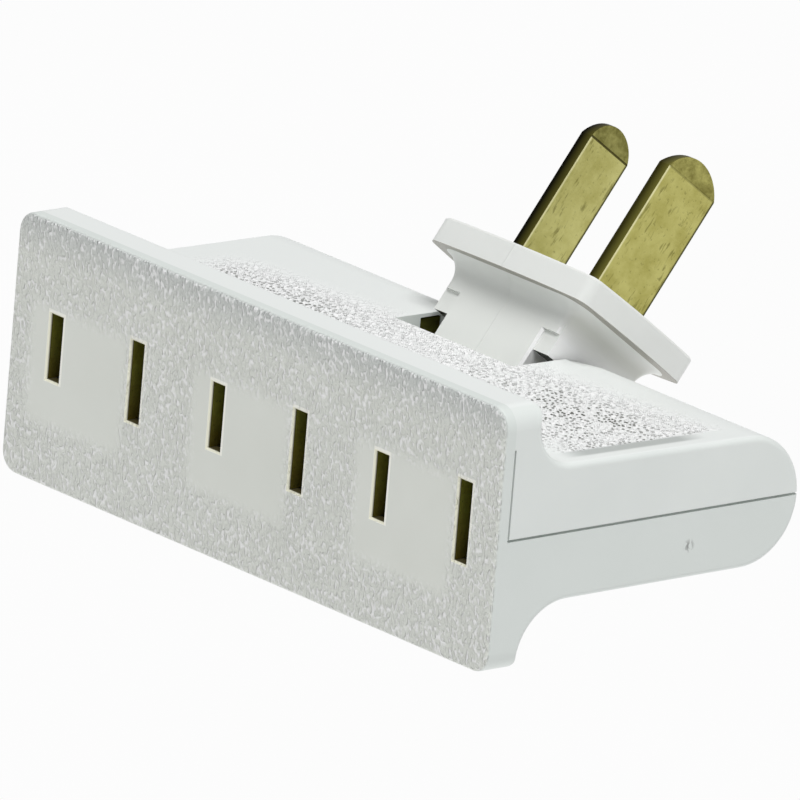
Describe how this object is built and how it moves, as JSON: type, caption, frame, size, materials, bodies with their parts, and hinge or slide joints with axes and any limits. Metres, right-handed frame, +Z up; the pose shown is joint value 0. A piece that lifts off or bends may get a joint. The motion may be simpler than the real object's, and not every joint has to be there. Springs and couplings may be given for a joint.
{
  "type": "multi socket adapter",
  "caption": "White wall tap: a wide outlet plate with polarised two-slot outlets in a row, a flat body behind it and a swivelling two-blade plug head in its back.",
  "frame": {"origin": "centre between the two blades on the plug head's outer face, which rests on the wall outlet", "axes": "+X along the row of outlets, to the right seen from the outlet face; -Y out of the outlet face; +Z up along the slots"},
  "size_m": [0.0758, 0.0524, 0.0387],
  "materials": {
    "housing_plastic": "fine pebble texture, satin, white",
    "plug_plastic": "smooth satin, white",
    "blade_brass": "rolled, lightly scratched",
    "contact_brass": "rolled spring strip",
    "rivet_brass": "upset, satin"
  },
  "bodies": {
    "plug": {"plug_head": "plug_plastic", "blade_hot": "blade_brass", "blade_neutral": "blade_brass", "contact_pin_hot": "contact_brass", "contact_pin_neutral": "contact_brass"},
    "housing": {"front_housing": "housing_plastic", "upper_housing": "housing_plastic", "hot_clip_left": "contact_brass", "hot_clip_centre": "contact_brass", "hot_clip_right": "contact_brass", "neutral_clip_left": "contact_brass", "neutral_clip_centre": "contact_brass", "neutral_clip_right": "contact_brass", "bus_hot": "contact_brass", "bus_neutral": "contact_brass", "wiper_hot": "contact_brass", "wiper_neutral": "contact_brass", "hot_rivets": "rivet_brass", "neutral_rivets": "rivet_brass", "wiper_rivets": "rivet_brass"}
  },
  "joints": [
    {"name": "plug_swivel", "type": "hinge", "parent": "plug", "child": "housing", "pos_m": [0, -0.00797, -0.01065], "axis": [1, 0, 0], "range_deg": [-36.8, 143.2]}
  ]
}
